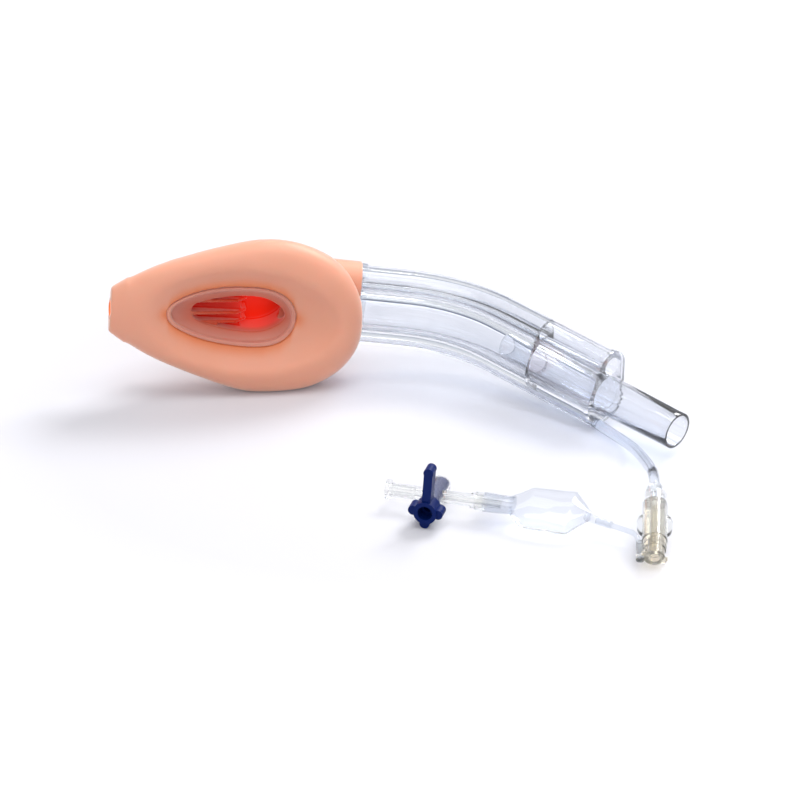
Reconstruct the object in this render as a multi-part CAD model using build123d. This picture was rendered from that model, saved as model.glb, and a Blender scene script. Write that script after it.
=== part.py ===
from build123d import *

import math
import os

os.makedirs("parts", exist_ok=True)

# Laryngeal mask airway, lying on a table on the side of its cuff. Millimetres, +Z up.
# The mask, the start of the airway tube and its end each have a frame of their own.
# The last step moves everything so that the origin is under the middle of the mask and tube.

# Mask: the long axis runs from the tip to the tube, the face is the side of the open bowl
MASK_CENTRE = Vector(-10.7, 6.9, 32.4)
MASK_LONG = Vector(0.986, 0.121, -0.1126)
MASK_FACE = Vector(0.135, -0.983, 0.126)

# Cuff stations along the mask: place, half width and half thickness of the rounded section
CUFF_STATIONS = [
    (-52.5, 9.2, 5.2),
    (-45.0, 14.2, 6.6),
    (-34.0, 20.0, 8.4),
    (-20.0, 25.3, 9.8),
    (-4.0, 30.4, 10.8),
    (12.0, 33.2, 11.0),
    (26.0, 31.3, 11.0),
    (38.0, 25.8, 10.6),
    (46.0, 18.6, 9.0),
    (50.6, 10.0, 5.6),
]
CUFF_END = 52.4
TABLE_CUT = 60.0
CUFF_SQUARENESS = 2.45
SECTION_POINTS = 24

# Dish pressed into the face of the cuff around the bowl
DISH_CENTRE = (0.0, 11.5)
DISH_RADII = (41.0, 22.0, 12.0)

# Egg-shaped outlines of the lip and of the chamber's mouth: place along the mask and half width
LIP_OUTLINE = [
    (-29.4, 0.0),
    (-28.2, 3.4),
    (-24.8, 6.0),
    (-17.3, 9.4),
    (-8.8, 11.5),
    (1.0, 12.5),
    (10.5, 12.2),
    (17.5, 9.9),
    (21.8, 5.6),
    (23.4, 0.0),
]
MOUTH_OUTLINE = [
    (-19.0, 0.0),
    (-18.2, 2.4),
    (-14.0, 4.7),
    (-7.0, 6.4),
    (0.0, 7.4),
    (6.0, 7.6),
    (11.0, 6.9),
    (15.5, 4.9),
    (18.4, 2.5),
    (19.4, 0.0),
]
LIP_WIDTH = 1.7
LIP_PROUD = 0.6
CHAMBER_TOP = -2.6
CHAMBER_FLOOR = -19.5
CHAMBER_WALL = 1.6
SLOPE_TOP = 0.4

# Drain tube from the tip to the drain lumen
DRAIN_OUTER = 3.6
DRAIN_INNER = 2.9

# Three fins stand on a raised floor and point to the airway outlet
FIN_PLACES = (4.1, -1.1, -4.9)
FIN_THICKNESS = 1.3
FIN_REACH = 0.0
FIN_END = -6.5
FIN_FOOT_REACH = 4.5
FIN_FOOT = -12.0
RAISED_FLOOR = -10.0
RAISED_REACH = 2.0

# Airway tube section: a hull of two circles with two lumens, measured from the airway axis
LOW_CENTRE = -2.0
LOW_RADIUS = 10.6
HIGH_CENTRE = 10.3
HIGH_RADIUS = 8.1
AIRWAY_LUMEN = 8.0
DRAIN_LUMEN = (3.8, 5.4)
DRAIN_CENTRE = 12.6

# Airway tube route: straight, one bend, straight, all in one plane
TUBE_NORMAL = Vector(0.141, 0.0, 0.99).normalized()
FACE_CENTRE = Vector(138.0, -28.4, 14.3)
FACE_HEADING = math.radians(-42.1)
END_RUN = 57.0
BEND_RADIUS = 55.0
BEND_ANGLE = math.radians(46.0)
START_RUN = 34.0

# Socket of the mask around the start of the tube
SOCKET_DEPTH = 14.7
SOCKET_WALL = 1.3
ROOM_LENGTH = 8.0
FAIRING_STRAIGHT = 14.0
DRAIN_BEND_BACK = 36.0
SEAL_LENGTH = 2.4
SEAL_WALL = 0.7

# Clear end block and the 15 mm connector through it
BLOCK_LENGTH = 34.0
FLANGE_THICKNESS = 2.5
FLANGE_PROUD = 0.5
BLOCK_BORE = 7.8
DRAIN_PORT_RADIUS = 4.0
DRAIN_PORT_CENTRE = 12.4
CONE_LENGTH = 36.5
CONE_ROOT_RADIUS = 8.0
CONE_TIP_RADIUS = 7.53
CONE_TAPER = 1.0 / 40.0
CONE_GAUGE_LENGTH = 16.0
CONNECTOR_BORE = 6.5
STUB_LENGTH = 17.0
STUB_RADIUS = 7.9

# Inflation line: bonded in a groove under the tube, then free to the valve hub
LINE_RADIUS = 2.2
LINE_BORE = 1.3
LINE_TURN = math.radians(18.0)
LINE_PLACE = (
    LOW_CENTRE - (LOW_RADIUS + 0.1) * math.cos(LINE_TURN),
    (LOW_RADIUS + 0.1) * math.sin(LINE_TURN),
)
LINE_START = 12.0
LINE_SEAT = 5.0
LINE_CORNERS = [
    (139.8, -40.0, 2.6),
    (147.6, -56.6, 5.0),
    (151.5, -82.7, 11.5),
]
LINE_LEAD = 5.0
LINE_BACK = 0.5

# Valve hub: clear shell with grip wings, amber core with a Luer mouth
HUB_MOUTH = Vector(150.2, -145.0, 4.95)
HUB_TOP = Vector(152.3, -109.9, 16.1)
SHELL_RADIUS = 4.8
SHELL_BORE = 3.9
CORE_RADIUS = 3.9
CAP_LENGTH = 6.2
SHELL_FOOT = 8.6
RING_STEP = 5.6
RING_RADII = (4.3, 4.5)
COLLAR_LENGTH = 3.2
COLLAR_RADIUS = 3.1
WING_LENGTH = 10.0
WING_REACH = 6.8
WING_ROUND = 3.0
WING_MIDDLE = 16.5
WING_THICKNESS = 2.0
SIDE_PORT_RADIUS = 1.6
SIDE_PORT_OFFSET = 6.3
SIDE_PORT_ANGLE = math.radians(147.0)
SIDE_PORT_FOOT = 2.0
SIDE_PORT_TOP = 10.6
SIDE_WEB_LENGTH = 2.0
LUER_RADIUS = 3.95
LUER_BORE = 2.15
LUER_DEPTH = 9.0
LUER_LENGTH = 3.6
LUG_REACH = 1.0
LUG_LENGTH = 1.6
LUG_WIDTH = 2.6
LUG_ANGLE = 30.0

# Pilot line and balloon
PILOT_RADIUS = 1.0
PILOT_BORE = 0.5
PILOT_SEAT = 6.5
PILOT_LEAD = 4.0
FAR_NECK_START = Vector(127.0, -116.3, 6.1)
FAR_NECK_END = Vector(135.4, -120.5, 5.2)
BALLOON_HALF_WIDTH = 12.0
BALLOON_HALF_THICK = 3.8
BALLOON_TILT = 16.0
NECK_RADIUS = 4.0
FAR_NECK_RADIUS = 1.75
NECK_START = 19.6
NECK_END = 30.4
NECK_BORE = 2.15
BAG_SHOULDER = 36.5
BAG_FAR_SHOULDER = 53.5
BAG_TIP = 61.5
NECK_RING_RADIUS = 3.6
NECK_RING_LENGTH = 3.4

# Stopcock: two ports in line and a turning core with its handle
COCK_CENTRE = Vector(68.6, -99.9, 7.0)
PORT_DIRECTION = Vector(0.963, -0.27, 0.0).normalized()
CORE_DIRECTION = Vector(-0.27, -0.963, 0.0).normalized()
BARREL_RADIUS = 3.9
BARREL_FRONT = 8.3
PORT_RADIUS = 2.7
FEMALE_LENGTH = 19.2
FEMALE_FLANGE = 1.6
FEMALE_FLANGE_RADIUS = 3.9
MALE_RADIUS = 2.5
MALE_SHOULDER = 16.2
MALE_STOP_RADIUS = 3.0
TAPER_RADIUS = 2.1
TAPER_END = 26.0
CORE_FIT_RADIUS = 3.0
CORE_CLEARANCE = 0.05
HANDLE_FRONT = 15.2
HANDLE_BACK = 8.6
CORE_REAR = -9.2
HUB_RADIUS = 4.6
LONG_ARM = 18.7
SHORT_ARM = 6.6
ARM_WIDTH = 3.4
ARM_KNOB = 0.25
ARM_INSET = 0.7
ARM_TURN = 86.0
RECESS_DEPTH = 5.0
RECESS_RADIUS = 2.9


MASK = Plane(origin=MASK_CENTRE, x_dir=MASK_LONG, z_dir=MASK_FACE)


def tube_plane(point, heading):
    """Plane across the tube: local x points from the airway to the drain lumen, z along the tube."""
    side = TUBE_NORMAL.cross(heading)
    return Plane(origin=point, x_dir=TUBE_NORMAL, z_dir=TUBE_NORMAL.cross(side) * -1)


def plane_heading(angle):
    """Unit direction in the tube's plane whose compass heading is the angle given."""
    flat = Vector(math.cos(angle), math.sin(angle), 0)
    return (flat - TUBE_NORMAL * flat.dot(TUBE_NORMAL)).normalized()


END_DIRECTION = plane_heading(FACE_HEADING)
BEND_END = FACE_CENTRE - END_DIRECTION * END_RUN
BEND_SIDE = TUBE_NORMAL.cross(END_DIRECTION)
START_DIRECTION = END_DIRECTION.rotate(Axis((0, 0, 0), TUBE_NORMAL), math.degrees(BEND_ANGLE))
START_SIDE = TUBE_NORMAL.cross(START_DIRECTION)
BEND_START = BEND_END - BEND_SIDE * BEND_RADIUS + START_SIDE * BEND_RADIUS
TUBE_START = BEND_START - START_DIRECTION * START_RUN
TUBE_END = FACE_CENTRE - END_DIRECTION * BLOCK_LENGTH
END_PLANE = tube_plane(FACE_CENTRE, END_DIRECTION)
START_PLANE = tube_plane(TUBE_START, START_DIRECTION)


def tube_path(start_extra=0.0, end_point=None, up=0.0, front=0.0):
    """Line, arc and line beside the tube's axis, shifted up across the tube and to its front."""
    shift = TUBE_NORMAL * up
    radius = BEND_RADIUS - front
    centre = BEND_END - BEND_SIDE * BEND_RADIUS + shift
    middle_side = (BEND_SIDE + START_SIDE).normalized()
    bend_start = centre + START_SIDE * radius
    bend_end = centre + BEND_SIDE * radius
    first = bend_start - START_DIRECTION * (START_RUN - start_extra)
    last = bend_end + END_DIRECTION * ((end_point or TUBE_END) - BEND_END).length
    arc = ThreePointArc(bend_start, centre + middle_side * radius, bend_end)
    return Wire([Edge.make_line(first, bend_start), arc.edge(), Edge.make_line(bend_end, last)])


def hull_of(low, high, low_radius, high_radius):
    """Hull of a low and a high circle, with the circles in line along local x."""
    low_circle = Pos(low, 0) * Circle(low_radius)
    high_circle = Pos(high, 0) * Circle(high_radius)
    return make_hull(low_circle.edges() + high_circle.edges())


def hull_section(grow=0.0):
    """Outline of the airway tube, or one that lies outside it by the growth given."""
    return hull_of(LOW_CENTRE, HIGH_CENTRE, LOW_RADIUS + grow, HIGH_RADIUS + grow)


def section_at(station, half_width, half_thick):
    """Rounded section of the cuff across the mask, a closed curve of superellipse points."""
    points = []
    power = 2.0 / CUFF_SQUARENESS
    for step in range(SECTION_POINTS):
        turn = 2 * math.pi * step / SECTION_POINTS
        c = math.cos(turn)
        s = math.sin(turn)
        y = half_width * math.copysign(abs(c) ** power, c)
        z = half_thick * math.copysign(abs(s) ** power, s)
        points.append((y, z))
    outline = Spline(*points, periodic=True)
    across = Plane(origin=(station, 0, 0), x_dir=(0, 1, 0), z_dir=(1, 0, 0))
    return across * make_face(outline)


def cuff_body():
    """Egg-shaped cushion, flat at the tip and rounded at the tube end, in the mask frame."""
    sections = [section_at(*station) for station in CUFF_STATIONS]
    return loft(sections + [Vertex(CUFF_END, 0, 0)])


def dish(shrink=0.0):
    """Ellipsoid that presses the shallow dish into the face."""
    along, out = DISH_CENTRE
    radii = [radius - shrink for radius in DISH_RADII]
    return Pos(along, 0, out) * scale(Sphere(1.0), by=tuple(radii))


def egg(outline, shrink=0.0):
    """Flat egg shape through an outline's points, drawn in by the shrink at its ends and sides."""
    length = outline[-1][0] - outline[0][0]
    middle = outline[0][0] + length / 2
    widest = max(half for along, half in outline)
    long_scale = 1 - 2 * shrink / length
    wide_scale = 1 - shrink / widest
    points = [(middle + (along - middle) * long_scale, half * wide_scale) for along, half in outline]
    lower = [(along, -half) for along, half in points[1:-1]]
    upper = points[-2:0:-1]
    return make_face(Spline(points[0], *lower, points[-1], *upper, periodic=True))


def egg_prism(outline, bottom, top, shrink=0.0):
    return Pos(0, 0, bottom) * extrude(egg(outline, shrink), top - bottom)


def fairing_outer():
    """Back of the mask: a sleeve around the tube that runs out in a rounded nose, layout frame."""
    sleeve = extrude(hull_section(SOCKET_WALL), SOCKET_DEPTH + FAIRING_STRAIGHT)
    straight = START_PLANE.location * Pos(0, 0, -FAIRING_STRAIGHT) * sleeve
    nose = []
    shapes = [
        (0.0, 0.0, LOW_CENTRE, HIGH_CENTRE, LOW_RADIUS + SOCKET_WALL, HIGH_RADIUS + SOCKET_WALL),
        (14.0, 0.6, LOW_CENTRE, DRAIN_CENTRE - 0.2, LOW_RADIUS - 0.2, DRAIN_OUTER + 2.4),
        (34.0, 2.0, LOW_CENTRE, DRAIN_CENTRE - 3.6, LOW_RADIUS - 2.2, DRAIN_OUTER + 1.8),
        (50.0, 9.0, LOW_CENTRE, DRAIN_CENTRE - 8.1, LOW_RADIUS - 5.6, DRAIN_OUTER + 0.4),
        (60.0, 16.0, LOW_CENTRE + 1.0, LOW_CENTRE + 3.0, LOW_RADIUS - 8.0, LOW_RADIUS - 8.2),
    ]
    for back, forward, low, high, low_radius, high_radius in shapes:
        section = hull_of(low, high, low_radius, high_radius)
        place = START_PLANE.location * Pos(0, 0, -FAIRING_STRAIGHT - back)
        shift = Pos(*(MASK_FACE * forward))
        nose.append(shift * place * section)
    return straight + loft(nose)


def drain_route():
    """Corner points of the drain tube from the tip to the start of the drain lumen."""
    start = START_PLANE.from_local_coords(Vector(DRAIN_CENTRE, 0, 0))
    before = START_PLANE.from_local_coords(Vector(DRAIN_CENTRE, 0, -DRAIN_BEND_BACK))
    tip = MASK.from_local_coords(Vector(CUFF_STATIONS[0][0], 0, 0))
    inside = MASK.from_local_coords(Vector(-42.0, 0.3, -0.6))
    return [tip, inside, before, start]


def drain_cylinder(radius, start_back=0.0, end_on=0.0):
    """Round bar along the drain route, for the drain tube and for its channel."""
    points = drain_route()
    first = points[0] + (points[0] - points[1]).normalized() * start_back
    last = points[-1] + START_DIRECTION * end_on
    runs = [first, points[1], points[2], last]
    path = FilletPolyline(*runs, radius=[14.0, 14.0])
    section = Plane(origin=first, z_dir=(runs[1] - first)) * Circle(radius)
    return sweep(section, path=path)


def place_mask(shape):
    return MASK.location * shape


def bowl_outer():
    """Outside of the bowl piece: the plug in the cuff, the chamber behind it and the fairing."""
    plug = egg_prism(LIP_OUTLINE, -12.0, 13.0) - dish(LIP_PROUD)
    chamber = egg_prism(MOUTH_OUTLINE, CHAMBER_FLOOR - CHAMBER_WALL, CHAMBER_TOP, -CHAMBER_WALL)
    return place_mask(plug + chamber) + fairing_outer()


def bowl_hollow():
    """Inside of the bowl: lip, sloping wall and chamber, in the mask frame."""
    upper = egg_prism(LIP_OUTLINE, SLOPE_TOP, 14.0, LIP_WIDTH)
    rim = Pos(0, 0, SLOPE_TOP) * egg(LIP_OUTLINE, LIP_WIDTH)
    mouth = Pos(0, 0, CHAMBER_TOP) * egg(MOUTH_OUTLINE)
    return upper + loft([mouth, rim]) + egg_prism(MOUTH_OUTLINE, CHAMBER_FLOOR, CHAMBER_TOP)


def fin(across):
    """Upright fin from the tip side of the chamber, sloping down to the airway outlet."""
    wall = MOUTH_OUTLINE[0][0] - 1.0
    profile = Polyline(
        (wall, CHAMBER_FLOOR - 1.0),
        (wall, CHAMBER_TOP),
        (FIN_REACH, FIN_END),
        (FIN_FOOT_REACH, FIN_FOOT),
        (FIN_FOOT_REACH, CHAMBER_FLOOR - 1.0),
        close=True,
    )
    side = Plane(origin=(0, across + FIN_THICKNESS / 2, 0), x_dir=(1, 0, 0), z_dir=(0, -1, 0))
    return extrude(side * make_face(profile), FIN_THICKNESS)


def raised_floor():
    """Step at the tip side of the chamber, on which the fins stand."""
    wall = MOUTH_OUTLINE[0][0] - 1.0
    length = RAISED_REACH - wall
    height = RAISED_FLOOR - CHAMBER_FLOOR + 1.0
    return Pos(wall + length / 2, 0, RAISED_FLOOR - height / 2) * Box(length, 30.0, height)


def build_bowl(outer):
    """Bowl, fins, outlet, tube socket and fairing, moulded as one silicone piece."""
    room = egg_prism(MOUTH_OUTLINE, CHAMBER_FLOOR - 1.0, CHAMBER_TOP)
    inserts = [fin(across) & room for across in FIN_PLACES] + [raised_floor() & room]
    outlet = START_PLANE.location * Pos(0, 0, -18.0) * extrude(Circle(AIRWAY_LUMEN), 22.0)
    socket = START_PLANE.location * extrude(hull_section(), SOCKET_DEPTH + 5.0)
    groove = START_PLANE.location * Pos(*LINE_PLACE, LINE_START) * extrude(Circle(LINE_RADIUS), 12.0)
    shape = outer - place_mask(bowl_hollow()) - outlet
    for insert in inserts:
        shape = shape + place_mask(insert)
    return shape - socket - groove - drain_cylinder(DRAIN_OUTER, 2.0)


def build_cuff(outer):
    """Inflatable cuff, closed and full of air, pressed flat where it lies on the table."""
    body = cuff_body() - dish()
    groove = START_PLANE.location * Pos(*LINE_PLACE, LINE_START) * extrude(Circle(LINE_RADIUS), 12.0)
    room = extrude(hull_section(SOCKET_WALL), ROOM_LENGTH)
    room = START_PLANE.location * Pos(0, 0, SOCKET_DEPTH) * room
    table = Pos(0, 0, -TABLE_CUT) * Box(4 * TABLE_CUT, 4 * TABLE_CUT, 2 * TABLE_CUT)
    return place_mask(body) - outer - room - drain_cylinder(DRAIN_OUTER, 2.0) - groove - table


def build_drain_tube():
    """Silicone drain tube from the tip hole to the drain lumen of the airway tube."""
    return drain_cylinder(DRAIN_OUTER) - drain_cylinder(DRAIN_INNER, 1.0, 1.0)


def build_airway_tube():
    """Clear two-lumen tube with a groove for the inflation line along its foot."""
    section = hull_section() - Circle(AIRWAY_LUMEN)
    section = section - Pos(DRAIN_CENTRE, 0) * Ellipse(*DRAIN_LUMEN)
    section = section - Pos(*LINE_PLACE) * Circle(LINE_RADIUS)
    return sweep(START_PLANE * section, path=tube_path())


def build_bonded_line():
    """Inflation line bonded into the groove, from inside the mask to the end face."""
    path = tube_path(LINE_START, FACE_CENTRE, *LINE_PLACE)
    start = START_PLANE.offset(LINE_START)
    ring = Pos(*LINE_PLACE) * (Circle(LINE_RADIUS) - Circle(LINE_BORE))
    return sweep(start * ring, path=path)


def build_seal_ring():
    """Clear bond line between the end of the socket and the tube."""
    ring = extrude(hull_section(SEAL_WALL) - hull_section(), SEAL_LENGTH)
    ring = ring - Pos(*LINE_PLACE) * Cylinder(LINE_RADIUS, 3 * SEAL_LENGTH)
    return START_PLANE.location * Pos(0, 0, SOCKET_DEPTH) * ring


def build_end_block():
    """Clear end block with the same outline as the tube, a flange and two ports."""
    body = extrude(hull_section(), -BLOCK_LENGTH)
    flange = extrude(hull_section(FLANGE_PROUD), -FLANGE_THICKNESS)
    shape = body + flange
    shape = shape - extrude(Circle(BLOCK_BORE), -BLOCK_LENGTH)
    shape = shape - Pos(DRAIN_PORT_CENTRE, 0) * extrude(Circle(DRAIN_PORT_RADIUS), -BLOCK_LENGTH)
    shape = shape - Pos(*LINE_PLACE) * extrude(Circle(LINE_RADIUS), -BLOCK_LENGTH)
    return END_PLANE.location * shape


def build_connector():
    """Connector with the 15 mm cone outside, the body in the block and the stub in the airway lumen."""
    half = Polyline(
        (CONNECTOR_BORE, -BLOCK_LENGTH - STUB_LENGTH),
        (STUB_RADIUS - 0.8, -BLOCK_LENGTH - STUB_LENGTH),
        (STUB_RADIUS, -BLOCK_LENGTH - STUB_LENGTH + 2.0),
        (STUB_RADIUS, -BLOCK_LENGTH),
        (BLOCK_BORE, -BLOCK_LENGTH),
        (BLOCK_BORE, 0),
        (CONE_ROOT_RADIUS, 0),
        (CONE_TIP_RADIUS + CONE_GAUGE_LENGTH * CONE_TAPER / 2, CONE_LENGTH - CONE_GAUGE_LENGTH),
        (CONE_TIP_RADIUS, CONE_LENGTH),
        (CONNECTOR_BORE, CONE_LENGTH),
        close=True,
    )
    profile = make_face(Plane.XZ * half)
    return END_PLANE.location * revolve(profile, Axis.Z)


HUB_AXIS = (HUB_TOP - HUB_MOUTH).normalized()
HUB_LENGTH = (HUB_TOP - HUB_MOUTH).length
HUB_PLANE = Plane(origin=HUB_MOUTH, x_dir=HUB_AXIS.cross(Vector(0, 0, 1)), z_dir=HUB_AXIS)
CAP_FOOT = HUB_LENGTH - CAP_LENGTH - COLLAR_LENGTH
SIDE_PORT_PLACE = (
    SIDE_PORT_OFFSET * math.cos(SIDE_PORT_ANGLE),
    SIDE_PORT_OFFSET * math.sin(SIDE_PORT_ANGLE),
)


def turned(points):
    """Solid of revolution about local z from a closed profile of radius and height pairs."""
    return revolve(make_face(Plane.XZ * Polyline(*points, close=True)), Axis.Z)


def bend_radii(points):
    """Radius at each inner corner: 0.45 of the shorter run, over the tangent of half the turn."""
    radii = []
    for before, corner, after in zip(points, points[1:], points[2:]):
        run_in = corner - before
        run_out = after - corner
        half_turn = math.radians(run_in.get_angle(run_out)) / 2
        radii.append(0.45 * min(run_in.length, run_out.length) / math.tan(half_turn))
    return radii


def cord(name, points, radius, bore):
    """Hollow round line along a route of straight runs and tangent arcs, with its size check printed."""
    radii = bend_radii(points)
    path = FilletPolyline(*points, radius=radii)
    section = Circle(radius) - Circle(bore)
    tube = sweep(Plane(origin=points[0], z_dir=points[1] - points[0]) * section, path=path)
    ideal = math.pi * (radius**2 - bore**2) * path.length
    print(name, "length", round(path.length, 1), "radii", [round(r, 1) for r in radii])
    print(name, "volume over section times length", round(tube.volume / ideal, 4))
    return tube


def line_route():
    """Free run of the inflation line, from just behind the end face over to the seat in the hub cap."""
    exit_point = END_PLANE.from_local_coords(Vector(*LINE_PLACE, -LINE_BACK))
    lead = HUB_TOP + HUB_AXIS * LINE_LEAD
    inside = HUB_TOP - HUB_AXIS * LINE_SEAT
    return [exit_point] + [Vector(*point) for point in LINE_CORNERS] + [lead, inside]


def build_inflation_line():
    """Free inflation line, cut flush with the end face where the bonded line takes over."""
    behind = Box(4 * LINE_RADIUS, 4 * LINE_RADIUS, 2 * LINE_RADIUS)
    behind = END_PLANE.location * Pos(*LINE_PLACE, -LINE_RADIUS) * behind
    return cord("inflation_line", line_route(), LINE_RADIUS, LINE_BORE) - behind


def pilot_route():
    """Pilot line, from its seat in the balloon's far neck to its seat in the side port."""
    boss_top = HUB_PLANE.from_local_coords(Vector(*SIDE_PORT_PLACE, SIDE_PORT_TOP))
    neck_axis = (FAR_NECK_END - FAR_NECK_START).normalized()
    return [
        FAR_NECK_END - neck_axis * PILOT_SEAT,
        FAR_NECK_END + neck_axis * PILOT_LEAD,
        boss_top + HUB_AXIS * PILOT_LEAD,
        boss_top - HUB_AXIS * PILOT_SEAT,
    ]


def build_hub_cap():
    """Clear cap that holds the inflation line: a round shoulder over the shell and core."""
    top = HUB_LENGTH
    shoulder = top - COLLAR_LENGTH
    cap = turned([
        (LINE_BORE, CAP_FOOT),
        (SHELL_RADIUS, CAP_FOOT),
        (SHELL_RADIUS - 0.3, shoulder - 1.6),
        (SHELL_RADIUS - 0.9, shoulder),
        (COLLAR_RADIUS, top - 0.6),
        (COLLAR_RADIUS - 0.4, top),
        (LINE_RADIUS, top),
        (LINE_RADIUS, top - LINE_SEAT),
        (LINE_BORE, top - LINE_SEAT),
    ])
    return HUB_PLANE.location * cap


def build_hub_shell():
    """Clear shell around the core with two grip wings and the side port for the pilot line."""
    shell = turned([
        (SHELL_BORE, SHELL_FOOT),
        (SHELL_RADIUS, SHELL_FOOT),
        (SHELL_RADIUS, CAP_FOOT),
        (SHELL_BORE, CAP_FOOT),
    ])
    for side in (-1, 1):
        outline = Pos(side * (WING_REACH - WING_ROUND), WING_MIDDLE) * Ellipse(WING_ROUND, WING_LENGTH / 2)
        wing = extrude(Plane.XZ.offset(-WING_THICKNESS / 2) * outline, WING_THICKNESS)
        shell = shell + wing
    boss = extrude(Circle(SIDE_PORT_RADIUS), SIDE_PORT_TOP - SIDE_PORT_FOOT)
    boss = Pos(*SIDE_PORT_PLACE, SIDE_PORT_FOOT) * boss
    web = Pos(SIDE_PORT_OFFSET / 1.25, 0, SHELL_FOOT + SIDE_WEB_LENGTH / 2) * Box(3.0, 2.0, SIDE_WEB_LENGTH)
    web = Rot(0, 0, math.degrees(SIDE_PORT_ANGLE)) * web
    shell = shell + boss + web
    hole = Pos(*SIDE_PORT_PLACE, SIDE_PORT_TOP - PILOT_SEAT) * extrude(Circle(PILOT_RADIUS), 2 * PILOT_SEAT)
    bore = extrude(Circle(SHELL_BORE), CAP_FOOT + 1.0)
    return HUB_PLANE.location * (shell - hole - bore)


def build_hub_core():
    """Amber core: Luer mouth with two lugs, two stepped rings and a fine bore up to the cap."""
    core = turned([
        (LUER_BORE, 0),
        (LUER_RADIUS, 0),
        (LUER_RADIUS, LUER_LENGTH),
        (RING_RADII[0], LUER_LENGTH),
        (RING_RADII[0], RING_STEP),
        (RING_RADII[1], RING_STEP),
        (RING_RADII[1], SHELL_FOOT),
        (CORE_RADIUS, SHELL_FOOT),
        (CORE_RADIUS, CAP_FOOT),
        (LINE_BORE, CAP_FOOT),
        (LINE_BORE, LUER_DEPTH),
        (LUER_BORE - 0.25, LUER_DEPTH),
    ])
    lug = Box(LUG_REACH + 0.8, LUG_WIDTH, LUG_LENGTH)
    for side in (-1, 1):
        core = core + Pos(side * (LUER_RADIUS + LUG_REACH / 2 - 0.4), 0, LUG_LENGTH / 2) * lug
    return HUB_PLANE.location * Rot(0, 0, LUG_ANGLE) * core


def across_direction():
    """Width direction of the flat balloon: level with the ports and tilted up at the far side."""
    tilt = math.radians(BALLOON_TILT)
    return CORE_DIRECTION * -math.cos(tilt) + Vector(0, 0, 1) * math.sin(tilt)


PORT_PLANE = Plane(origin=COCK_CENTRE, x_dir=across_direction(), z_dir=PORT_DIRECTION)
COCK_PLANE = Plane(origin=COCK_CENTRE, x_dir=PORT_DIRECTION, z_dir=CORE_DIRECTION)


def build_balloon():
    """Pilot balloon: a flat welded bag with a wide neck for the taper and a thin far neck."""
    body = loft(
        [
            Pos(0, 0, NECK_END) * Circle(NECK_RADIUS),
            Pos(0, 0, BAG_SHOULDER) * Ellipse(BALLOON_HALF_WIDTH - 0.6, BALLOON_HALF_THICK),
            Pos(0, 0, BAG_FAR_SHOULDER) * Ellipse(BALLOON_HALF_WIDTH, BALLOON_HALF_THICK),
            Pos(0, 0, BAG_TIP) * Circle(FAR_NECK_RADIUS),
        ],
        ruled=True,
    )
    neck = Pos(0, 0, NECK_START) * extrude(Circle(NECK_RADIUS), NECK_END - NECK_START)
    hole = Pos(0, 0, NECK_START) * extrude(Circle(NECK_BORE), TAPER_END - NECK_START + 1.0)
    bag = PORT_PLANE.location * (body + neck - hole)
    neck_axis = FAR_NECK_END - FAR_NECK_START
    far_plane = Plane(origin=FAR_NECK_START, z_dir=neck_axis)
    far_neck = far_plane.location * extrude(Circle(FAR_NECK_RADIUS), neck_axis.length)
    seat_plane = Plane(origin=FAR_NECK_END - neck_axis.normalized() * PILOT_SEAT, z_dir=neck_axis)
    seat = seat_plane.location * extrude(Circle(PILOT_RADIUS), 2 * PILOT_SEAT)
    return bag + far_neck - seat


def build_neck_ring():
    """Clear ring that stiffens the mouth of the balloon's neck."""
    ring = extrude(Circle(NECK_RING_RADIUS) - Circle(NECK_BORE), NECK_RING_LENGTH)
    return PORT_PLANE.location * Pos(0, 0, NECK_START - NECK_RING_LENGTH) * ring


def build_cock_body():
    """Clear stopcock body: barrel, female Luer port on one side and male taper on the other."""
    barrel = Pos(0, 0, CORE_REAR) * extrude(Circle(BARREL_RADIUS), BARREL_FRONT - CORE_REAR)
    female = turned([
        (0, 0),
        (PORT_RADIUS, 0),
        (PORT_RADIUS, FEMALE_LENGTH - FEMALE_FLANGE),
        (FEMALE_FLANGE_RADIUS, FEMALE_LENGTH - FEMALE_FLANGE),
        (FEMALE_FLANGE_RADIUS, FEMALE_LENGTH),
        (0, FEMALE_LENGTH),
    ])
    female_bore = turned([
        (0, 2.0),
        (1.0, 2.0),
        (1.0, 8.0),
        (LUER_BORE - 0.25, 8.0),
        (LUER_BORE, 30.0),
        (0, 30.0),
    ])
    male = turned([
        (0, 0),
        (MALE_RADIUS, 0),
        (MALE_RADIUS, MALE_SHOULDER - 1.8),
        (MALE_STOP_RADIUS, MALE_SHOULDER - 1.8),
        (MALE_STOP_RADIUS, MALE_SHOULDER),
        (TAPER_RADIUS, MALE_SHOULDER),
        (TAPER_RADIUS - 0.2, TAPER_END),
        (0, TAPER_END),
    ])
    male_bore = extrude(Circle(1.0), TAPER_END + 1.0)
    left = Rot(0, -90, 0)
    right = Rot(0, 90, 0)
    shape = barrel + left * female + right * male
    shape = shape - left * female_bore - right * male_bore
    core_bore = Pos(0, 0, CORE_REAR - 1.0) * extrude(Circle(CORE_FIT_RADIUS + CORE_CLEARANCE), 40.0)
    return COCK_PLANE.location * (shape - core_bore)


def arm(length, angle):
    """Round-ended lever arm from the axis outward, drawn across the core."""
    reach = length - ARM_WIDTH / 2
    bar = Pos(reach / 2, 0) * Rectangle(reach, ARM_WIDTH)
    return Rot(0, 0, angle) * (bar + Pos(reach, 0) * Circle(ARM_WIDTH / 2 + ARM_KNOB))


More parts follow.
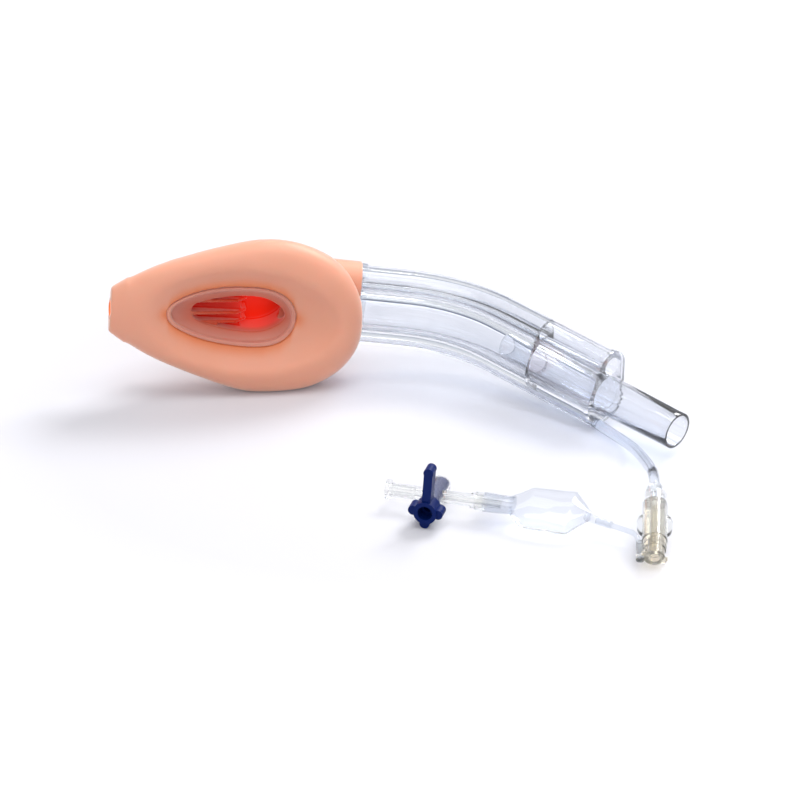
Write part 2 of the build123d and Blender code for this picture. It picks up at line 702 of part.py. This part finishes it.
def build_cock_handle():
    """Blue handle and core in one piece: long arm, three short arms, cross hole and hollow front."""
    core = Pos(0, 0, CORE_REAR) * extrude(Circle(CORE_FIT_RADIUS), HANDLE_BACK - CORE_REAR)
    hub = Pos(0, 0, HANDLE_BACK) * extrude(Circle(HUB_RADIUS), HANDLE_FRONT - HANDLE_BACK)
    lever = arm(LONG_ARM, ARM_TURN)
    for quarter in (90, 180, 270):
        lever = lever + arm(SHORT_ARM, ARM_TURN + quarter)
    lever_depth = HANDLE_FRONT - HANDLE_BACK - 2 * ARM_INSET
    lever_solid = Pos(0, 0, HANDLE_BACK + ARM_INSET) * extrude(lever, lever_depth)
    shape = core + hub + lever_solid
    recess = Pos(0, 0, HANDLE_FRONT - RECESS_DEPTH) * extrude(Circle(RECESS_RADIUS), RECESS_DEPTH)
    well = Pos(0, 0, 3.0) * extrude(Circle(1.8), HANDLE_FRONT)
    passage = Pos(-10, 0, 0) * Rot(0, 90, 0) * extrude(Circle(1.0), 20)
    return COCK_PLANE.location * (shape - recess - well - passage)


def build_all():
    """All pieces in the layout frame, by node name."""
    outer = bowl_outer()
    return {
        "cuff": build_cuff(outer),
        "bowl": build_bowl(outer),
        "drain_tube": build_drain_tube(),
        "airway_tube": build_airway_tube(),
        "socket_seal": build_seal_ring(),
        "bonded_line": build_bonded_line(),
        "end_block": build_end_block(),
        "airway_connector": build_connector(),
        "inflation_line": build_inflation_line(),
        "hub_cap": build_hub_cap(),
        "hub_shell": build_hub_shell(),
        "hub_core": build_hub_core(),
        "pilot_line": cord("pilot_line", pilot_route(), PILOT_RADIUS, PILOT_BORE),
        "pilot_balloon": build_balloon(),
        "neck_ring": build_neck_ring(),
        "stopcock_body": build_cock_body(),
        "stopcock_handle": build_cock_handle(),
    }


OBJECT_NODES = (
    "cuff",
    "bowl",
    "drain_tube",
    "airway_tube",
    "socket_seal",
    "bonded_line",
    "end_block",
    "airway_connector",
)


def frame_shift(pieces):
    """Move that puts the origin on the table under the middle of the mask and tube."""
    box = Compound([pieces[name] for name in OBJECT_NODES]).bounding_box()
    return Vector(-box.center().X, -box.center().Y, -box.min.Z)


def show(name, point):
    print(name, [round(value, 4) for value in (point.X, point.Y, point.Z)])


PIECES = build_all()
SHIFT = frame_shift(PIECES)
for piece_name, piece in PIECES.items():
    export_step(Pos(*SHIFT) * piece, f"parts/{piece_name}.step")
show("shift", SHIFT)
show("tube end face centre", FACE_CENTRE + SHIFT)
show("tube end direction", END_DIRECTION)
show("tube normal", TUBE_NORMAL)
show("cone tip centre", FACE_CENTRE + END_DIRECTION * CONE_LENGTH + SHIFT)
show("line exit", line_route()[0] + SHIFT)
show("hub mouth", HUB_MOUTH + SHIFT)
show("hub axis", HUB_AXIS)
show("stopcock centre", COCK_CENTRE + SHIFT)
CONNECTOR_MIDDLE = (CONE_LENGTH - BLOCK_LENGTH - STUB_LENGTH) / 2
CONE_MIDDLE = CONE_LENGTH - CONE_GAUGE_LENGTH / 2
PORT_MIDDLE = Vector(DRAIN_PORT_CENTRE, 0, -BLOCK_LENGTH / 2)
show("connector middle", FACE_CENTRE + END_DIRECTION * CONNECTOR_MIDDLE + SHIFT)
show("cone middle", FACE_CENTRE + END_DIRECTION * CONE_MIDDLE + SHIFT)
show("drain port middle", END_PLANE.from_local_coords(PORT_MIDDLE) + SHIFT)
show("female port mouth", COCK_CENTRE - PORT_DIRECTION * FEMALE_LENGTH + SHIFT)
show("mask centre", MASK_CENTRE + SHIFT)
show("tube start", TUBE_START + SHIFT)
show("mask tip", MASK.from_local_coords(Vector(CUFF_STATIONS[0][0], 0, 0)) + SHIFT)
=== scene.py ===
import math

import bmesh
import bpy
from mathutils import Matrix, Vector


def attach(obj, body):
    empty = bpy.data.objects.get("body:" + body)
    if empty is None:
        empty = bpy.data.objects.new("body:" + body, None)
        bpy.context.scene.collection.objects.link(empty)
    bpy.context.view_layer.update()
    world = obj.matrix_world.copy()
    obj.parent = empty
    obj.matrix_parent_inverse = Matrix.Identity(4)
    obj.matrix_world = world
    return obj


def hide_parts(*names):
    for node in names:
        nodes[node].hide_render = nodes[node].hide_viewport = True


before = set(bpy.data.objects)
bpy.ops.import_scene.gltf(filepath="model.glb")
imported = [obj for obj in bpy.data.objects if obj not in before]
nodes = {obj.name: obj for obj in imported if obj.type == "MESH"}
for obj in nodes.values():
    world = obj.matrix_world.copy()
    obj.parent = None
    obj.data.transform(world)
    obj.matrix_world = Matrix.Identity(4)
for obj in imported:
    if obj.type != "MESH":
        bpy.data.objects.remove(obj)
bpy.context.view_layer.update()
scene = bpy.context.scene
scene.view_settings.view_transform = "Standard"


# The table is a wide white sheet of paper, lit from behind on the right, with soft bluish shadows.
# A little glow that grows with distance lifts it to pure white, also where clear plastic shows or mirrors it.

def linear(colour):
    """Linear colour with full alpha from an sRGB hex value."""
    parts = [int(colour[place:place + 2], 16) / 255 for place in (1, 3, 5)]
    return [part / 12.92 if part <= 0.04045 else ((part + 0.055) / 1.055) ** 2.4 for part in parts] + [1.0]


def add(tree, kind, settings=None, links=None):
    """Adds a node with its settings and with its inputs linked from other sockets."""
    node = tree.nodes.new(kind)
    for name, value in (settings or {}).items():
        if isinstance(name, str) and hasattr(node, name):
            setattr(node, name, value)
        else:
            node.inputs[name].default_value = value
    for name, source in (links or {}).items():
        tree.links.new(source, node.inputs[name])
    return node


def blank_material(name):
    """New material with an empty node tree."""
    material = bpy.data.materials.new(name)
    material.use_nodes = True
    material.node_tree.nodes.clear()
    return material


def mesh_piece(name, shape, material, smooth=True):
    """Object at the origin from a bmesh in metres, with its material."""
    mesh = bpy.data.meshes.new(name)
    shape.to_mesh(mesh)
    shape.free()
    piece = bpy.data.objects.new(name, mesh)
    scene.collection.objects.link(piece)
    piece.data.materials.append(material)
    for face in piece.data.polygons:
        face.use_smooth = smooth
    return piece


paper = blank_material("white_paper")
tree = paper.node_tree
path = add(tree, "ShaderNodeLightPath")
seen = add(tree, "ShaderNodeMath", {"operation": "MAXIMUM"},
           {0: path.outputs["Is Camera Ray"], 1: path.outputs["Is Transmission Ray"]})
seen_or_mirrored = add(tree, "ShaderNodeMath", {"operation": "MAXIMUM"},
                       {0: seen.outputs[0], 1: path.outputs["Is Glossy Ray"]})
place = add(tree, "ShaderNodeTexCoord")
away = add(tree, "ShaderNodeVectorMath", {"operation": "LENGTH"}, {0: place.outputs["Object"]})
fade = add(tree, "ShaderNodeMapRange", {"From Min": 0.14, "From Max": 0.42, "To Min": 0.06, "To Max": 0.50},
           {"Value": away.outputs["Value"]})
lift = add(tree, "ShaderNodeMath", {"operation": "MULTIPLY"},
           {0: seen_or_mirrored.outputs[0], 1: fade.outputs[0]})
glow = add(tree, "ShaderNodeEmission", {"Color": linear("#F4F5FF")}, {"Strength": lift.outputs[0]})
matt = add(tree, "ShaderNodeBsdfDiffuse", {"Color": linear("#D8D8DD")})
both = add(tree, "ShaderNodeAddShader", {}, {0: matt.outputs[0], 1: glow.outputs[0]})
add(tree, "ShaderNodeOutputMaterial", {}, {"Surface": both.outputs[0]})

TABLE_HALF_WIDTH = 4.0
shape = bmesh.new()
bmesh.ops.create_grid(shape, x_segments=1, y_segments=1, size=TABLE_HALF_WIDTH)
table = mesh_piece("table", shape, paper, smooth=False)

world = bpy.data.worlds.new("studio")
scene.world = world
world.use_nodes = True
tree = world.node_tree
tree.nodes.clear()
path = add(tree, "ShaderNodeLightPath")
way = add(tree, "ShaderNodeTexCoord")
height = add(tree, "ShaderNodeSeparateXYZ", {}, {"Vector": way.outputs["Generated"]})
room = add(tree, "ShaderNodeValToRGB", {}, {"Fac": height.outputs["Z"]})
room.color_ramp.elements[0].color = linear("#C9CBD4")
room.color_ramp.elements[1].color = linear("#E8E9EE")
soft_light = add(tree, "ShaderNodeBackground", {"Strength": 0.49}, {"Color": room.outputs["Color"]})
walls = add(tree, "ShaderNodeValToRGB", {}, {"Fac": height.outputs["Z"]})
walls.color_ramp.elements[0].color = linear("#8A90A0")
walls.color_ramp.elements[1].color = linear("#FFFFFF")
for level, colour in ((0.08, "#747B8D"), (0.20, "#D5D9E2"), (0.42, "#F6F7FB")):
    walls.color_ramp.elements.new(level).color = linear(colour)
mirrored = add(tree, "ShaderNodeBackground", {"Strength": 1.0}, {"Color": walls.outputs["Color"]})
lit = add(tree, "ShaderNodeMixShader", {},
          {0: path.outputs["Is Diffuse Ray"], 1: mirrored.outputs[0], 2: soft_light.outputs[0]})
backdrop = add(tree, "ShaderNodeBackground", {"Color": linear("#FFFFFF"), "Strength": 1.0})
chosen = add(tree, "ShaderNodeMixShader", {},
             {0: path.outputs["Is Camera Ray"], 1: lit.outputs[0], 2: backdrop.outputs[0]})
add(tree, "ShaderNodeOutputWorld", {}, {"Surface": chosen.outputs[0]})


def lamp(name, place, aim, size, power, colour):
    """Square studio softbox that faces a point."""
    light = bpy.data.lights.new(name, "AREA")
    light.shape = "RECTANGLE"
    light.size, light.size_y = size
    light.energy = power
    light.color = linear(colour)[:3]
    box = bpy.data.objects.new(name, light)
    box.location = place
    box.rotation_euler = (Vector(aim) - Vector(place)).to_track_quat("-Z", "Y").to_euler()
    scene.collection.objects.link(box)


lamp("window_behind", (0.62, 0.80, 1.05), (0.0, 0.0, 0.0), (0.7, 0.5), 16.0, "#FFFFFF")
lamp("sky_above", (0.10, -0.15, 1.35), (0.0, 0.0, 0.0), (1.0, 0.8), 8.0, "#FFFFFF")
lamp("fill_in_front", (-0.2, -1.25, 0.95), (0.0, 0.0, 0.03), (1.2, 1.2), 6.0, "#FFFBF6")

camera = bpy.data.cameras.new("view")
camera.lens = 165.4
camera.sensor_width = 36.0
camera.clip_end = 20.0
eye = bpy.data.objects.new("view", camera)
eye.location = (0.00204, -1.3302, 0.6810)
eye.rotation_euler = (math.radians(63.0), 0.0, 0.0)
scene.collection.objects.link(eye)
scene.camera = eye


# The inflation line is a thin hose of clear soft PVC, bonded into the end of the tube's groove.
# It leaves the end face on the table, rises in one loose bow and goes into the cap of the valve hub.

def clear_material(name, colour, ior, roughness, shade, gloss=0.0):
    """Clear plastic: refracts and mirrors, and lets lamps through with a light tint of its own."""
    material = blank_material(name)
    tree = material.node_tree
    place = add(tree, "ShaderNodeTexCoord")
    flow = add(tree, "ShaderNodeTexNoise", {"Scale": 160.0, "Detail": 2.0},
               {"Vector": place.outputs["Object"]})
    wave = add(tree, "ShaderNodeBump", {"Strength": 0.06, "Distance": 0.0004}, {"Height": flow.outputs[0]})
    body = add(tree, "ShaderNodeBsdfPrincipled", {
        "Base Color": linear(colour),
        "Transmission Weight": 1.0,
        "IOR": ior,
        "Roughness": roughness,
        "Coat Weight": gloss,
        "Coat Roughness": 0.03,
        "Coat IOR": 1.5,
    }, {"Normal": wave.outputs[0]})
    through = add(tree, "ShaderNodeBsdfTransparent", {"Color": linear(shade)})
    path = add(tree, "ShaderNodeLightPath")
    mixed = add(tree, "ShaderNodeMixShader", {},
                {0: path.outputs["Is Shadow Ray"], 1: body.outputs[0], 2: through.outputs[0]})
    add(tree, "ShaderNodeOutputMaterial", {}, {"Surface": mixed.outputs[0]})
    return material


def hose(name, points, radius):
    """Smooth round line on a NURBS spline with the route's points as its control points."""
    curve = bpy.data.curves.new(name, "CURVE")
    curve.dimensions = "3D"
    curve.bevel_depth = radius
    curve.bevel_resolution = 6
    curve.resolution_u = 16
    curve.use_fill_caps = True
    spline = curve.splines.new("NURBS")
    spline.points.add(len(points) - 1)
    for control, place in zip(spline.points, points):
        control.co = (*place, 1.0)
    spline.order_u = 3
    spline.use_endpoint_u = True
    line = bpy.data.objects.new(name, curve)
    scene.collection.objects.link(line)
    return line


soft_pvc = clear_material("soft_pvc_hose", "#E9EDF3", 1.22, 0.04, "#CDD4DE", gloss=1.0)
inflation_route = [
    (0.08063, -0.01872, 0.00261),
    (0.08672, -0.02822, 0.00260),
    (0.09452, -0.04482, 0.00500),
    (0.09842, -0.07092, 0.01150),
    (0.09951, -0.09336, 0.01761),
    (0.09894, -0.10287, 0.01459),
]
inflation_hose = hose("inflation_hose", inflation_route, radius=0.0022)
inflation_hose.data.materials.append(soft_pvc)
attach(inflation_hose, "mask_airway")
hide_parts("inflation_line")


# The pilot line is a thin hose of the same PVC from the far neck of the balloon to the side port of the hub.
pilot_route = [
    (0.07654, -0.10582, 0.00582),
    (0.08588, -0.11050, 0.00482),
    (0.09274, -0.11797, 0.00609),
    (0.09214, -0.12796, 0.00292),
]
pilot_hose = hose("pilot_hose", pilot_route, radius=0.0010)
pilot_hose.data.materials.append(soft_pvc)
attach(pilot_hose, "mask_airway")
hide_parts("pilot_line")


# The cuff is a cushion of soft peach silicone, blown up like a pillow around the bowl.
# Its skin is matt with a soft sheen; an orange halo around the lip is painted into its colour with a faint
# painted glow, for light through a thin wall.

def silicone_skin(name, colour, painted_shade_and_glow_colours=None, painted_glow=0.0):
    """Matt silicone with mould grain; it can take an even painted glow, and the attributes inside and glow
    paint deeper shade and a glow into its colour.
    """
    material = blank_material(name)
    tree = material.node_tree
    place = add(tree, "ShaderNodeTexCoord")
    grain = add(tree, "ShaderNodeTexNoise", {"Scale": 1400.0, "Detail": 2.0},
                {"Vector": place.outputs["Object"]})
    bump = add(tree, "ShaderNodeBump", {"Strength": 0.05, "Distance": 0.0002}, {"Height": grain.outputs[0]})
    cloud = add(tree, "ShaderNodeTexNoise", {"Scale": 28.0, "Detail": 2.0},
                {"Vector": place.outputs["Object"]})
    tone = add(tree, "ShaderNodeMapRange", {"From Min": 0.3, "From Max": 0.7, "To Min": 0.97, "To Max": 1.02},
               {"Value": cloud.outputs[0]})
    skin = add(tree, "ShaderNodeBsdfPrincipled", {
        "Roughness": 0.45,
        "IOR": 1.41,
        "Subsurface Weight": 0.3,
        "Subsurface Radius": (1.0, 0.35, 0.2),
        "Subsurface Scale": 0.004,
        "Sheen Weight": 0.80,
        "Sheen Roughness": 0.42,
        "Sheen Tint": linear("#FFF6EC"),
        # Painted glow: emission in the skin's own colour, for light through the silicone.
        "Emission Color": linear(colour),
        "Emission Strength": painted_glow,
    }, {"Normal": bump.outputs[0]})
    tinted = add(tree, "ShaderNodeHueSaturation", {"Color": linear(colour)}, {"Value": tone.outputs[0]})
    # Painted shade and glow: the ramp deepens the colour as inside grows, and glow lights it as emission in
    # the ramp's colour.
    if painted_shade_and_glow_colours:
        inside = add(tree, "ShaderNodeAttribute", {"attribute_name": "inside"})
        ramp = add(tree, "ShaderNodeValToRGB", {}, {"Fac": inside.outputs["Fac"]})
        ramp.color_ramp.elements[0].color = linear(colour)
        ramp.color_ramp.elements[1].color = linear(painted_shade_and_glow_colours[-1])
        for step, value in enumerate(painted_shade_and_glow_colours[:-1]):
            stop = ramp.color_ramp.elements.new((step + 1) / len(painted_shade_and_glow_colours))
            stop.color = linear(value)
        tree.links.new(ramp.outputs[0], tinted.inputs["Color"])
        glow = add(tree, "ShaderNodeAttribute", {"attribute_name": "glow"})
        tree.links.new(ramp.outputs[0], skin.inputs["Emission Color"])
        tree.links.new(glow.outputs["Fac"], skin.inputs["Emission Strength"])
    tree.links.new(tinted.outputs[0], skin.inputs["Base Color"])
    add(tree, "ShaderNodeOutputMaterial", {}, {"Surface": skin.outputs[0]})
    return material


def soft_copy(name, node, voxel, rounds, material):
    """Copy of a CAD solid with its corners softened, as moulded silicone has them."""
    shape = bmesh.new()
    shape.from_mesh(nodes[node].data)
    bmesh.ops.remove_doubles(shape, verts=shape.verts, dist=0.00001)
    piece = mesh_piece(name, shape, material)
    remesh = piece.modifiers.new("even_skin", "REMESH")
    remesh.mode = "VOXEL"
    remesh.voxel_size = voxel
    remesh.use_smooth_shade = True
    ease = piece.modifiers.new("soft_corners", "SMOOTH")
    ease.factor = 0.5
    ease.iterations = rounds
    ready = piece.evaluated_get(bpy.context.evaluated_depsgraph_get())
    finished = bpy.data.meshes.new_from_object(ready)
    piece.modifiers.clear()
    piece.data = finished
    for face in finished.polygons:
        face.use_smooth = True
    return piece


MASK_CENTRE = Vector((-0.06378, 0.01868, 0.03240))
MASK_LONG = Vector((0.98624, 0.12101, -0.11262))
MASK_WIDE = Vector((0.09544, 0.13944, 0.98562))
MASK_FACE = Vector((0.13497, -0.98281, 0.12598))
LIP_SHAPE = [(-0.0294, 0.0), (-0.0282, 0.0034), (-0.0248, 0.0060), (-0.0173, 0.0094), (-0.0088, 0.0115),
             (0.0010, 0.0125), (0.0105, 0.0122), (0.0175, 0.0099), (0.0218, 0.0056), (0.0234, 0.0)]
SKIN_COLOUR = "#E8A488"
FRONT_LEVEL = -0.0040
# Painted halo around the lip: its width, how far it deepens the colour, and the strength of its painted glow.
HALO_WIDTH, HALO_DEPTH, HALO_GLOW = 0.0032, 0.45, 0.16
CREST_GAP, TIP_END, CREST_ROUNDS = 0.0035, -0.0460, 70
OUTLINE_SLOPE = 0.9


def beyond_egg(egg, along, wide):
    """Rough distance of a point outside an egg-shaped outline, and less than zero inside it."""
    if not egg[0][0] < along < egg[-1][0]:
        end = egg[0] if along < 0 else egg[-1]
        return math.hypot(along - end[0], wide)
    for (start, low), (stop, high) in zip(egg, egg[1:]):
        if along <= stop:
            edge = low + (high - low) * (along - start) / (stop - start)
            return (abs(wide) - edge) * OUTLINE_SLOPE


def in_mask_frame(point):
    """Place of a point along the mask, across it and out of its face."""
    offset = point - MASK_CENTRE
    return offset.dot(MASK_LONG), offset.dot(MASK_WIDE), offset.dot(MASK_FACE)


# The two oranges are the painted halo's colours.
cuff_skin = silicone_skin("matt_cuff_silicone", SKIN_COLOUR, ["#D2703C", "#C45A26"])
cuff = soft_copy("cuff_cushion", "cuff", 0.0008, 5, cuff_skin)
inside = cuff.data.attributes.new("inside", "FLOAT", "POINT")
glow = cuff.data.attributes.new("glow", "FLOAT", "POINT")
crest = []
for number, point in enumerate(cuff.data.vertices):
    along, wide, out = in_mask_frame(point.co)
    gap = beyond_egg(LIP_SHAPE, along, wide)
    # Painted light: a band just outside the lip outline on the face is coloured deeper orange and glows
    # faintly.
    halo = math.exp(-(max(gap, 0.0) / HALO_WIDTH) ** 2) if out > FRONT_LEVEL else 0.0
    inside.data[number].value = HALO_DEPTH * halo
    glow.data[number].value = HALO_GLOW * halo
    if gap > CREST_GAP and out > FRONT_LEVEL and along > TIP_END:
        crest.append(number)
shape = bmesh.new()
shape.from_mesh(cuff.data)
shape.verts.ensure_lookup_table()
crest = [shape.verts[number] for number in crest]
for step in range(CREST_ROUNDS):
    bmesh.ops.smooth_vert(shape, verts=crest, factor=0.5, use_axis_x=True, use_axis_y=True, use_axis_z=True)
shape.to_mesh(cuff.data)
shape.free()
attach(cuff, "mask_airway")
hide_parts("cuff")


# The bowl is moulded in the same silicone: a thin lip, sloping walls and a deep chamber with three fins.
# Its colour is painted deeper with the depth, as painted shade, and a painted red glow that grows with depth,
# most at the airway's side, stands for light through thin walls.
LIP_LEVEL, CHAMBER_LEVEL = 0.0055, -0.0092
MOUTH_LEVEL, CHAMBER_FLOOR = -0.0040, -0.0203
MOUTH_SHAPE = [(-0.0190, 0.0), (-0.0182, 0.0024), (-0.0140, 0.0047), (-0.0070, 0.0064), (0.0, 0.0074),
               (0.0060, 0.0076), (0.0110, 0.0069), (0.0155, 0.0049), (0.0184, 0.0025), (0.0194, 0.0)]
AIRWAY_SIDE, AIRWAY_SPREAD = 0.0090, 0.0085
DEEP_GLOW, AIRWAY_GLOW = 0.22, 0.55
LIP_MARGIN = 0.0006

# The ramp runs from the wall's tone to the chamber's painted red shade and glow colours.
bowl_skin = silicone_skin("matt_bowl_silicone", SKIN_COLOUR,
                          ["#D08E7C", "#CC8270", "#C65A3C", "#C43206", "#C41A00"])
bowl = soft_copy("bowl_and_sleeve", "bowl", 0.00038, 5, bowl_skin)
inside = bowl.data.attributes.new("inside", "FLOAT", "POINT")
glow = bowl.data.attributes.new("glow", "FLOAT", "POINT")
for number, point in enumerate(bowl.data.vertices):
    along, wide, out = in_mask_frame(point.co)
    egg = LIP_SHAPE if out > MOUTH_LEVEL else MOUTH_SHAPE
    within = beyond_egg(egg, along, wide) < LIP_MARGIN and out > CHAMBER_FLOOR
    # Painted shade and glow: depth grows from the lip down to the chamber, and the glow grows with depth,
    # most at the airway's side.
    depth = min(1.0, max(0.0, (LIP_LEVEL - out) / (LIP_LEVEL - CHAMBER_LEVEL))) if within else 0.0
    near_airway = math.exp(-((along - AIRWAY_SIDE) / AIRWAY_SPREAD) ** 2)
    inside.data[number].value = depth
    glow.data[number].value = depth ** 3 * (DEEP_GLOW + AIRWAY_GLOW * near_airway)
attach(bowl, "mask_airway")
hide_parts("bowl")


# The drain tube runs inside the mask from the hole in its tip; it is orange silicone, seen at the tip only.

def paint(names, material):
    """Gives CAD nodes a new material and leaves their meshes alone."""
    for name in names:
        nodes[name].data.materials.clear()
        nodes[name].data.materials.append(material)


# Painted glow: the orange silicone glows faintly in its own colour, for light through the silicone.
drain_skin = silicone_skin("orange_silicone", "#F08A50", painted_glow=0.3)
paint(["drain_tube"], drain_skin)


# The airway tube is clear soft PVC, extruded with two lumens and bent; its sides show as bluish bands.
tube_pvc = clear_material("clear_pvc_tube", "#F0F2F5", 1.38, 0.02, "#CDD2DA")
paint(["airway_tube", "socket_seal", "bonded_line"], tube_pvc)


# The end block and the connector are clear polycarbonate, injection moulded with a high gloss.
# Their edges leave the mould with a small radius, which catches the light as fine bright lines.
WELD_DISTANCE = 0.000002
FLAT_ANGLE, SHARP_ANGLE, SHADE_ANGLE = math.radians(0.5), math.radians(35), math.radians(40)

def rounded_copy(name, node, width, material):
    """Copy of a CAD solid with its sharp edges rounded a little."""
    shape = bmesh.new()
    shape.from_mesh(nodes[node].data)
    bmesh.ops.remove_doubles(shape, verts=shape.verts, dist=WELD_DISTANCE)
    bmesh.ops.dissolve_limit(shape, angle_limit=FLAT_ANGLE, verts=shape.verts, edges=shape.edges)
    sharp = [edge for edge in shape.edges if edge.is_manifold and edge.calc_face_angle(0.0) > SHARP_ANGLE]
    bmesh.ops.bevel(shape, geom=sharp, offset=width, affect="EDGES", segments=2, profile=0.5, material=-1,
                    clamp_overlap=True)
    piece = mesh_piece(name, shape, material)
    piece.data.set_sharp_from_angle(angle=SHADE_ANGLE)
    return piece


polycarbonate = clear_material("clear_polycarbonate", "#F3F5F9", 1.28, 0.01, "#D3D9E2", gloss=1.0)
for name, node in (("flanged_end_block", "end_block"), ("cone_connector", "airway_connector")):
    piece = rounded_copy(name, node, 0.00025, polycarbonate)
    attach(piece, "mask_airway")
    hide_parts(node)


# The valve hub: a clear cap and shell around a core of milky cream plastic with a Luer mouth.
# The stopcock's body and the ring in the balloon's neck are moulded in the same clear plastic.
hub_clear = clear_material("clear_abs", "#F0F1F0", 1.28, 0.02, "#D2D3D4", gloss=1.0)
paint(["hub_cap", "hub_shell", "stopcock_body", "neck_ring"], hub_clear)
milky = clear_material("milky_cream_plastic", "#EEE8DA", 1.22, 0.20, "#CFCABC", gloss=0.8)
paint(["hub_core"], milky)


# The pilot balloon is a flat bag, welded from two sheets of clear film with a narrow flat seam all round.
# A wide neck of the same film holds the taper, and a thin neck at the far tip holds the pilot line.
PORT_ORIGIN = Vector((0.01552, -0.08812, 0.00700))
PORT_ALONG = Vector((0.96287, -0.26996, 0.0))
PORT_ACROSS = Vector((0.25951, 0.92557, 0.27564))
BAG_START, BAG_END = 0.0300, 0.0614
BAG_WIDTHS = [(0.0300, 0.0040), (0.0364, 0.0115), (0.0538, 0.0121), (0.0614, 0.0017)]
BAG_HEIGHTS = [(0.0300, 0.0036), (0.0364, 0.0034), (0.0450, 0.0038), (0.0538, 0.0034), (0.0614, 0.0015)]
SEAM_SHARE, SEAM_HALF_HEIGHT = 0.93, 0.00012
PILLOW_REACH, PILLOW_ROUND = 2.2, 0.6
NECK_FOOT, NECK_TIP, NECK_RADIUS, NECK_TAPER, NECK_WALL = 0.0196, 0.0315, 0.0039, 0.0004, 0.0004
FAR_NECK_RADII = (0.0017, 0.0015)
FAR_NECK = (Vector((0.07250, -0.10400, 0.00650)), Vector((0.08232, -0.10872, 0.00520)))


def between(stations, along):
    """Value at a place along the bag, between the two nearest stations."""
    for (start, low), (stop, high) in zip(stations, stations[1:]):
        if along <= stop:
            return low + (high - low) * (along - start) / (stop - start)
    return stations[-1][1]


film = clear_material("clear_film", "#E6E9EE", 1.09, 0.05, "#D4D8E0", gloss=1.0)
shape = bmesh.new()
bmesh.ops.create_grid(shape, x_segments=34, y_segments=30, size=1.0)
for point in shape.verts:
    along = BAG_START + (BAG_END - BAG_START) * (point.co.x + 1) / 2
    share = point.co.y
    pillow = max(0.0, 1 - (abs(share) / SEAM_SHARE) ** PILLOW_REACH) ** PILLOW_ROUND
    height = between(BAG_HEIGHTS, along) * pillow + SEAM_HALF_HEIGHT
    point.co = (along, share * between(BAG_WIDTHS, along), 0.0 if abs(share) > 0.999 else height)
halves = shape.verts[:] + shape.edges[:] + shape.faces[:]
bmesh.ops.mirror(shape, geom=halves, axis="Z", merge_dist=0.00001)
bmesh.ops.recalc_face_normals(shape, faces=shape.faces)
neck = bmesh.ops.create_cone(shape, cap_ends=False, segments=32, radius1=NECK_RADIUS,
                             radius2=NECK_RADIUS - NECK_TAPER, depth=NECK_TIP - NECK_FOOT,
                             matrix=Matrix.Translation(((NECK_FOOT + NECK_TIP) / 2, 0, 0))
                             @ Matrix.Rotation(math.radians(90), 4, "Y"))
walls = list({face for point in neck["verts"] for face in point.link_faces})
bmesh.ops.solidify(shape, geom=walls, thickness=NECK_WALL)
turn = Matrix((PORT_ALONG, PORT_ACROSS, PORT_ALONG.cross(PORT_ACROSS))).transposed().to_4x4()
bmesh.ops.transform(shape, matrix=Matrix.Translation(PORT_ORIGIN) @ turn, verts=shape.verts)
run = FAR_NECK[1] - FAR_NECK[0]
bmesh.ops.create_cone(shape, cap_ends=True, segments=24, radius1=FAR_NECK_RADII[0],
                      radius2=FAR_NECK_RADII[1], depth=run.length,
                      matrix=Matrix.Translation((FAR_NECK[0] + FAR_NECK[1]) / 2)
                      @ run.to_track_quat("Z", "Y").to_matrix().to_4x4())
balloon = mesh_piece("balloon_bag", shape, film)
balloon.data.set_sharp_from_angle(angle=math.radians(50))
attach(balloon, "mask_airway")
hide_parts("pilot_balloon")


# The stopcock's handle and core are moulded in one piece of dark blue nylon with a fine mould grain.
blue_nylon = blank_material("dark_blue_nylon")
tree = blue_nylon.node_tree
place = add(tree, "ShaderNodeTexCoord")
grain = add(tree, "ShaderNodeTexNoise", {"Scale": 900.0, "Detail": 2.0}, {"Vector": place.outputs["Object"]})
bump = add(tree, "ShaderNodeBump", {"Strength": 0.08, "Distance": 0.0002}, {"Height": grain.outputs[0]})
body = add(tree, "ShaderNodeBsdfPrincipled", {
    "Base Color": linear("#021C5C"),
    "Roughness": 0.42,
    "Specular IOR Level": 0.12,
}, {"Normal": bump.outputs[0]})
add(tree, "ShaderNodeOutputMaterial", {}, {"Surface": body.outputs[0]})
paint(["stopcock_handle"], blue_nylon)
